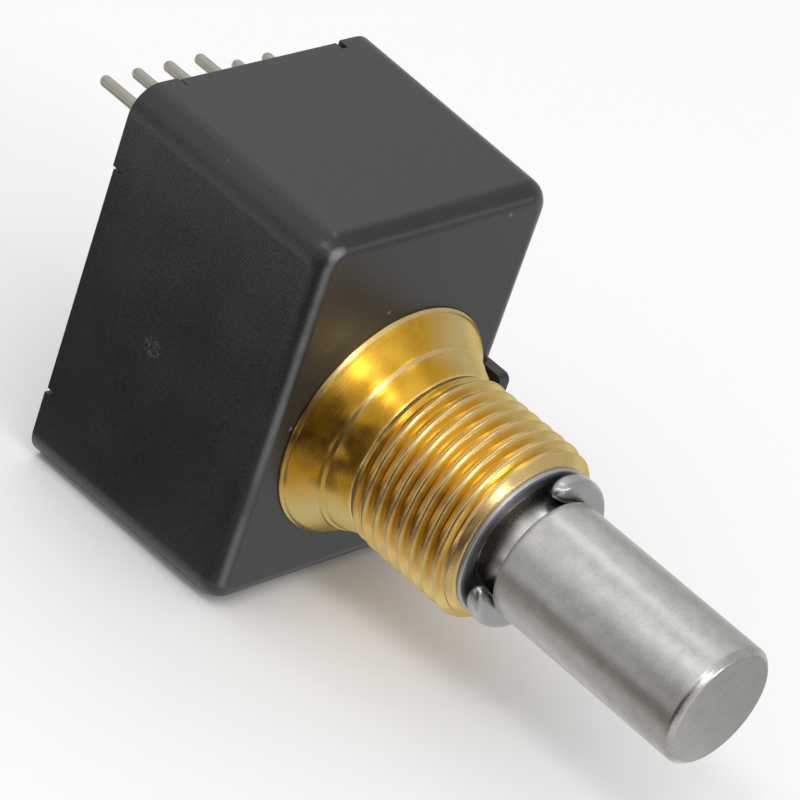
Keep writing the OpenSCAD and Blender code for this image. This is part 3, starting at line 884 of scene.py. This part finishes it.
# %% Turn the washer
WASHER_R = radius_of("front_washer")
WASHER_BORE = SHAFT_R + 0.08
washer_profile = [(WASHER_BORE, WASHER_BACK), (WASHER_R, WASHER_BACK)]
washer_profile += bend((WASHER_R, WASHER_FRONT - 0.12), (WASHER_R, WASHER_FRONT),
                       (WASHER_R - 0.16, WASHER_FRONT), 5)
washer_profile.append((WASHER_BORE, WASHER_FRONT))
finished(spun_mesh(washer_profile), "thin_washer", washer_steel, "stator",
         "washer_steel", "front_washer", sharp=50)

# %% [markdown]
# ## The threaded bushing
#
# The flange, the cone with its ledge, and the relief are one spun profile. The thread
# follows a rule: its radius rises and falls once per pitch along the axis, and the wave
# shifts by one pitch in a full turn. Geometry Nodes can write that rule down, so a flat
# grid is wrapped into a tube whose radius is worked out point by point.

# %% Sizes of the thread, and a new tree
THREAD_PITCH = 25.4 / 32
THREAD_R = 4.72
ROOT_R = 4.38
RELIEF_R = 4.42
END_FACE_R = 4.175
CREST_PHASE = 0.507
FLANK_FOOT, FLANK_TOP = 0.18, 0.95
RUN_IN = 0.7
PROFILE_STEPS = 24
SEAM = 2e-6
print("thread pitch", round(THREAD_PITCH, 3), "mm, depth", round(THREAD_R - ROOT_R, 2), "mm")


def geometry_tree(name, inputs):
    """A new tree that takes and gives geometry, with named inputs for its sizes."""
    tree = bpy.data.node_groups.new(name, "GeometryNodeTree")
    tree.interface.new_socket("Geometry", in_out="INPUT", socket_type="NodeSocketGeometry")
    for label, kind in inputs:
        tree.interface.new_socket(label, in_out="INPUT", socket_type=kind)
    tree.interface.new_socket("Geometry", in_out="OUTPUT", socket_type="NodeSocketGeometry")
    return tree, tree.nodes.new("NodeGroupInput"), tree.nodes.new("NodeGroupOutput")


def close_tree(tree, end, geometry, material):
    """Makes instances real, because the export drops them, and sets the material."""
    real = add(tree, "GeometryNodeRealizeInstances", Geometry=geometry)
    paint = add(tree, "GeometryNodeSetMaterial", Geometry=real.outputs[0], Material=material)
    give(tree, end, Geometry=paint.outputs[0])

# %% [markdown]
# A tree does nothing until a modifier runs it. Its inputs are set by the identifiers of
# their sockets, and what it makes is taken as a plain mesh. Then the modifier goes, and
# the object that held it as well.

# %% Run a tree
def baked(holder, name):
    """What an object's modifiers make of it, as a plain mesh. The object itself goes."""
    graph = bpy.context.evaluated_depsgraph_get()
    made = bpy.data.meshes.new_from_object(holder.evaluated_get(graph), depsgraph=graph)
    bpy.data.objects.remove(holder)
    made.name = name
    return made


def run_tree(tree, mesh, name, **values):
    """Runs a tree on a mesh. Its inputs are named with _ for each space."""
    holder = put(name, mesh)
    modifier = holder.modifiers.new("rule", "NODES")
    modifier.node_group = tree
    for item in tree.interface.items_tree:
        if item.in_out == "INPUT" and item.name.replace(" ", "_") in values:
            modifier[item.identifier] = values[item.name.replace(" ", "_")]
    return baked(holder, name)

# %% [markdown]
# The grid has one column for each step round and one row for each step of the profile, and
# it goes round as many times as there are pitches. A point's place on the flat grid tells
# its turn and its place in the wave. From those come the radius and the place forward.
# What lies beyond either end is pressed flat against it, so that both ends are circles.
# At the back the wave grows out of the relief within one pitch, and at the front a cone
# takes the crests down.

# %% The tree of the thread
def make_thread_tree():
    sizes = ("Pitch", "Crest Radius", "Root Radius", "Relief Radius", "Back", "Front",
             "End Radius", "Phase")
    tree, start, end = geometry_tree("thread", [(label, FLOAT) for label in sizes] + [
        ("Round Steps", "NodeSocketInt"), ("Profile Steps", "NodeSocketInt"),
        ("Material", "NodeSocketMaterial")])
    given = start.outputs
    back, front = [plus(tree, over(tree, given[label], given["Pitch"]), given["Phase"])
                   for label in ("Back", "Front")]
    first = minus(tree, maths(tree, "FLOOR", back), 1.0)
    turns = minus(tree, maths(tree, "CEIL", front), first)
    # One more column than steps, and a tenth more to be safe when the fraction is cut off.
    columns = plus(tree, times(tree, turns, given["Round Steps"]), 1.1)
    rows = plus(tree, given["Profile Steps"], 1.1)
    strip = add(tree, "GeometryNodeMeshGrid", Vertices_X=columns, Vertices_Y=rows)
    flat = split(tree, add(tree, "GeometryNodeInputPosition").outputs[0])
    turn = plus(tree, first, times(tree, plus(tree, flat[0], 0.5), turns))
    across = plus(tree, flat[1], 0.5)
    along = minus(tree, plus(tree, turn, across), given["Phase"])
    forward = times(tree, along, given["Pitch"])
    forward = smaller(tree, larger(tree, forward, given["Back"]), given["Front"])
    passed = plus(tree, over(tree, forward, given["Pitch"]), given["Phase"])
    wave = maths(tree, "FRACT", minus(tree, passed, turn))
    height = maths(tree, "ABSOLUTE", minus(tree, times(tree, wave, 2.0), 1.0))
    flank = remap(tree, height, FLANK_FOOT, FLANK_TOP, smooth=True)
    full_depth = plus(tree, given["Back"], times(tree, given["Pitch"], RUN_IN))
    run_in = remap(tree, forward, given["Back"], full_depth, smooth=True)
    depth = minus(tree, given["Crest Radius"], given["Root Radius"])
    root = minus(tree, given["Root Radius"], given["Relief Radius"])
    raised = plus(tree, root, times(tree, depth, flank))
    radius = plus(tree, given["Relief Radius"], times(tree, raised, run_in))
    cone = plus(tree, given["End Radius"], minus(tree, given["Front"], forward))
    radius = smaller(tree, radius, cone)
    angle = times(tree, turn, math.tau)
    x, z = [times(tree, radius, maths(tree, part, angle)) for part in ("COSINE", "SINE")]
    point = add(tree, "ShaderNodeCombineXYZ", X=x, Y=times(tree, forward, -1.0), Z=z)
    wrap = add(tree, "GeometryNodeSetPosition", Geometry=strip.outputs["Mesh"],
               Position=point.outputs[0])
    seam = add(tree, "GeometryNodeMergeByDistance", Geometry=wrap.outputs[0], Distance=SEAM)
    close_tree(tree, end, seam.outputs[0], given["Material"])
    return tree


thread_mesh = run_tree(
    make_thread_tree(), bpy.data.meshes.new("blank"), "thread",
    Pitch=THREAD_PITCH * MM, Crest_Radius=THREAD_R * MM, Root_Radius=ROOT_R * MM,
    Relief_Radius=RELIEF_R * MM, Back=THREAD_BACK * MM, Front=BUSHING_FRONT * MM,
    End_Radius=END_FACE_R * MM, Phase=CREST_PHASE, Round_Steps=ROUND_STEPS,
    Profile_Steps=PROFILE_STEPS, Material=brass)
print("thread", len(thread_mesh.polygons), "faces")

# %% [markdown]
# The rest of the bushing is spun and joined to the thread along two shared circles.
# Its spigot has two flats, so that it can't turn in the housing wall.

# %% Turn the bushing and join the thread
BORE_R = SHAFT_R + 0.03
SPIGOT_R, SPIGOT_FLAT = 4.6, 4.15
COLLAR_R, COLLAR_BEVEL = 5.2, 0.25
WALL_FACE, FLANGE_BACK = -1.8, -0.8
RECESS_R, RECESS_BACK, RECESS_FRONT = 4.13, 0.15, 1.25

outside = [
    (END_FACE_R, BUSHING_FRONT), (BORE_R, BUSHING_FRONT),
    (BORE_R, RECESS_FRONT), (RECESS_R, RECESS_FRONT), (RECESS_R, RECESS_BACK),
    (BORE_R, RECESS_BACK), (BORE_R, BUSHING_BACK), (COLLAR_R - COLLAR_BEVEL, BUSHING_BACK),
    (COLLAR_R, BUSHING_BACK + COLLAR_BEVEL), (COLLAR_R, WALL_FACE), (SPIGOT_R, WALL_FACE),
    (SPIGOT_R, FLANGE_BACK), (FLANGE_R, FLANGE_BACK)]
outside += bend((FLANGE_R, 0.05), (FLANGE_R, 0.09), (FLANGE_R - 0.03, 0.12), 3)
outside += bend((FLANGE_R - 0.10, 0.19), (FLANGE_R - 0.13, 0.22), (FLANGE_R - 0.15, 0.27), 3)
outside += bend((6.06, 0.34), (5.42, 0.97), (5.15, 1.52), 9)
outside += bend((5.14, 1.58), (5.13, 1.61), (5.11, 1.63), 3)
outside += bend((5.03, 1.71), (5.00, 1.74), (4.99, 1.78), 3)
outside += bend((4.97, 1.86), (4.83, 2.25), (4.64, 2.56), 6)
outside += bend((4.60, 2.62), (4.48, 2.80), (RELIEF_R, THREAD_BACK), 6)
bushing_bm = spun_mesh(broken_edges(outside, EDGE_BREAK), closed=False)
for vertex in bushing_bm.verts:
    if WALL_FACE * MM < -vertex.co.y < FLANGE_BACK * MM:
        vertex.co.x = max(-SPIGOT_FLAT * MM, min(SPIGOT_FLAT * MM, vertex.co.x))
bushing_bm.from_mesh(thread_mesh)
bmesh.ops.remove_doubles(bushing_bm, verts=bushing_bm.verts, dist=SEAM)
finished(bushing_bm, "threaded_bushing", brass, "stator", "bushing_brass", "bushing", sharp=70)

# %% [markdown]
# ## The retaining ring
#
# The ring is bent wire of a rounded, nearly square section. Towards its two ends it grows
# narrower, and each end is round. A bevelled curve could sweep the section, but its ends
# would be cut square. Here the section is carried round an arc step by step, so that its
# width can follow a rule: slowly narrower at first, then drawn in as a circle is.

# %% Sweep the ring
RING_MIDDLE = 57.0
RING_OPEN = 127.0
SECTION_STEPS = 32
ARC_STEPS = 128
NARROW_OVER, NARROWEST = 3.2, 0.68
ROUND_OVER = 1.3
END_POWER, SQUARENESS = 2.2, 2.5
RING_CLEARANCE = 0.01


def ring_section(half_width, middle, half_height, power):
    """Points round a rounded square, as (sideways, forward) pairs in mm."""
    points = []
    for k in range(SECTION_STEPS):
        a = math.tau * k / SECTION_STEPS
        c, s = math.cos(a), math.sin(a)
        size = (abs(c) ** power + abs(s) ** power) ** (-1 / power)
        points.append((half_width * size * c, middle + half_height * size * s))
    return points


def sweep_ring(inner, outer, low, high):
    """The ring lies between two radii and two places forward, in mm."""
    bm = bmesh.new()
    middle, half = (inner + outer) / 2, (outer - inner) / 2
    reach = math.degrees(half / middle)
    taper = ROUND_OVER * reach
    first = RING_MIDDLE + RING_OPEN / 2 - reach
    last = RING_MIDDLE - RING_OPEN / 2 + 360 + reach
    loops = []
    for i in range(ARC_STEPS + 1):
        turn = first + (last - first) * (0.5 - 0.5 * math.cos(math.pi * i / ARC_STEPS))
        along = min(turn - first, last - turn)
        inset = min(1.0, along / taper)
        grown = min(1.0, along / (NARROW_OVER * reach))
        widest = half * (NARROWEST + (1 - NARROWEST) * grown * grown * (3 - 2 * grown))
        width = widest * math.sqrt(max(0.0, 1 - (1 - inset) ** 2))
        height = (high - low) / 2 * math.sqrt(max(0.0, 1 - (1 - inset) ** END_POWER))
        a = math.radians(turn)
        section = ring_section(width, (low + high) / 2, height, 2 + SQUARENESS * inset)
        loops.append([bm.verts.new((-(middle + x) * MM * math.sin(a), -f * MM,
                                    (middle + x) * MM * math.cos(a))) for x, f in section])
    for one, two in zip(loops, loops[1:]):
        for k in range(SECTION_STEPS):
            n = (k + 1) % SECTION_STEPS
            bm.faces.new((one[k], one[n], two[n], two[k]))
    return bm


finished(sweep_ring(GROOVE_R + RING_CLEARANCE, RING_R, RING_BACK, RING_FRONT), "c_ring",
         ring_steel, "rotor", "ring_steel", "retaining_ring", sharp=180)

# %% [markdown]
# ## Housing and cover
#
# The housing's shape is right in the CAD, but its curved edges are made of flat strips.
# It could be built again from boxes and bevels, but a copy fits with no work. With its
# corners joined, a fine bevel and weighted normals, its edges shade as smooth curves, while
# the large faces stay flat. The fine bevel gives even the sharp edges a line of light.

# %% Copy the moulded pieces with smooth edges
SHARPEST_SMOOTH, SHARPEST_PLAIN = 35, 50
STRIP_ANGLE = 0.5
FINE_BEVEL = 0.04


def smooth_copy(node, name, material, slot):
    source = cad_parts[node]
    bm = bmesh.new()
    bm.from_mesh(source.data)
    bmesh.ops.remove_doubles(bm, verts=bm.verts, dist=1e-6)
    bmesh.ops.dissolve_limit(bm, angle_limit=math.radians(STRIP_ANGLE),
                            verts=bm.verts, edges=bm.edges)
    mesh = mesh_from(bm, name)
    for polygon in mesh.polygons:
        polygon.use_smooth = True
    mesh.set_sharp_from_angle(angle=math.radians(SHARPEST_SMOOTH))
    holder = put(name + "_holder", mesh)
    edge = holder.modifiers.new("edge", "BEVEL")
    edge.width = FINE_BEVEL * MM
    edge.segments = 2
    edge.limit_method = "ANGLE"
    edge.angle_limit = math.radians(SHARPEST_PLAIN)
    weighted = holder.modifiers.new("weighted", "WEIGHTED_NORMAL")
    weighted.keep_sharp = True
    made = baked(holder, name)
    made.materials.clear()
    made.materials.append(material)
    stand_in(made, name, "stator", slot, node)


for node, name in (("housing", "moulded_housing"), ("rear_cover", "moulded_cover")):
    smooth_copy(node, name, housing_plastic, "housing_plastic")

# %% [markdown]
# ## Pins
#
# Four long pins and two short ones leave the back. The pins of a row are alike, so one pin
# is spun about its own axis, and Geometry Nodes sets copies of it along a line. An Array
# modifier could do this too, but here the count and the pitch are named inputs.

# %% A tree that sets copies along a line
def make_row_tree():
    tree, start, end = geometry_tree("pin_row", [
        ("Count", "NodeSocketInt"), ("Pitch", FLOAT),
        ("Material", "NodeSocketMaterial")])
    given = start.outputs
    step = add(tree, "ShaderNodeCombineXYZ", X=given["Pitch"])
    line = add(tree, "GeometryNodeMeshLine", Count=given["Count"], Offset=step.outputs[0])
    copies = add(tree, "GeometryNodeInstanceOnPoints", Points=line.outputs["Mesh"],
                 Instance=given["Geometry"])
    close_tree(tree, end, copies.outputs["Instances"], given["Material"])
    return tree

# %% [markdown]
# A pin's tip is a dome. Its length and its place are read off the first CAD pin of the row.

# %% Set the pins
pin_row = make_row_tree()
PIN_R = radius_of("terminal_1")
PIN_PITCH = (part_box("terminal_2")[0].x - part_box("terminal_1")[0].x) / MM
PIN_STEPS = 24


def pin_mesh(node):
    """One pin with a domed tip, in place on its CAD node."""
    low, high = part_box(node)
    middle = (low + high) / 2
    front, back = low.y / MM, high.y / MM
    dome = [(PIN_R * math.cos(a), -(back - PIN_R + PIN_R * math.sin(a)))
            for a in (math.radians(d) for d in range(0, 90, 10))]
    profile = [(0, -front), (PIN_R, -front)] + dome + [(0, -back)]
    bm = spun_mesh(profile, closed=False, steps=PIN_STEPS)
    for vertex in bm.verts:
        vertex.co.x += middle.x
        vertex.co.z += middle.z
    bmesh.ops.recalc_face_normals(bm, faces=bm.faces)
    return mesh_from(bm, "one_pin")


def set_pins(name, first, last):
    pins = run_tree(pin_row, pin_mesh("terminal_%d" % first), name, Count=last - first + 1,
                    Pitch=PIN_PITCH * MM, Material=pin_tin)
    placed(pins, name, pin_tin, "stator", "terminal_tin",
           *["terminal_%d" % number for number in range(first, last + 1)], sharp=60)


set_pins("long_pins", 1, 4)
set_pins("short_pins", 5, 6)

# %% [markdown]
# ## Pieces inside
#
# Nothing inside shows while the housing is closed, but each CAD piece still gets a
# finish, for anyone who opens the model up. Their shapes are plain, so the CAD pieces
# themselves are kept, and only their materials are changed.

# %% Finish the inner pieces
holder_steel = turned_metal("holder_steel", (0.42, 0.42, 0.43), (0.5, 0.5, 0.5), 0.35, 0.08, 0.002)
magnet_nickel = turned_metal(
    "magnet_nickel", (0.55, 0.55, 0.53), (0.6, 0.6, 0.6), 0.22, 0.2, 0.001)
solder = turned_metal("solder", (0.70, 0.70, 0.70), (0.75, 0.75, 0.75), 0.25, 0.3, 0.002)
seal_rubber = moulded_plastic("seal_rubber", (0.012, 0.012, 0.012), (0.020, 0.020, 0.020), 0.65)
laminate = moulded_plastic("board_laminate", (0.010, 0.12, 0.05), (0.014, 0.16, 0.07), 0.30)
ceramic = moulded_plastic("capacitor_ceramic", (0.42, 0.30, 0.17), (0.48, 0.35, 0.21), 0.45)

finishes = {
    "inner_washer": washer_steel, "shaft_seal": seal_rubber, "magnet_holder": holder_steel,
    "magnet": magnet_nickel, "circuit_board": laminate, "sensor_chip": inner_plastic,
    "supply_capacitor": ceramic, "regulator_capacitor": ceramic,
    "terminal_header": inner_plastic, "solder_fillets": solder}
for node, material in finishes.items():
    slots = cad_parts[node].data.materials
    slots.clear()
    slots.append(material)
print("inner pieces:", len(finishes))
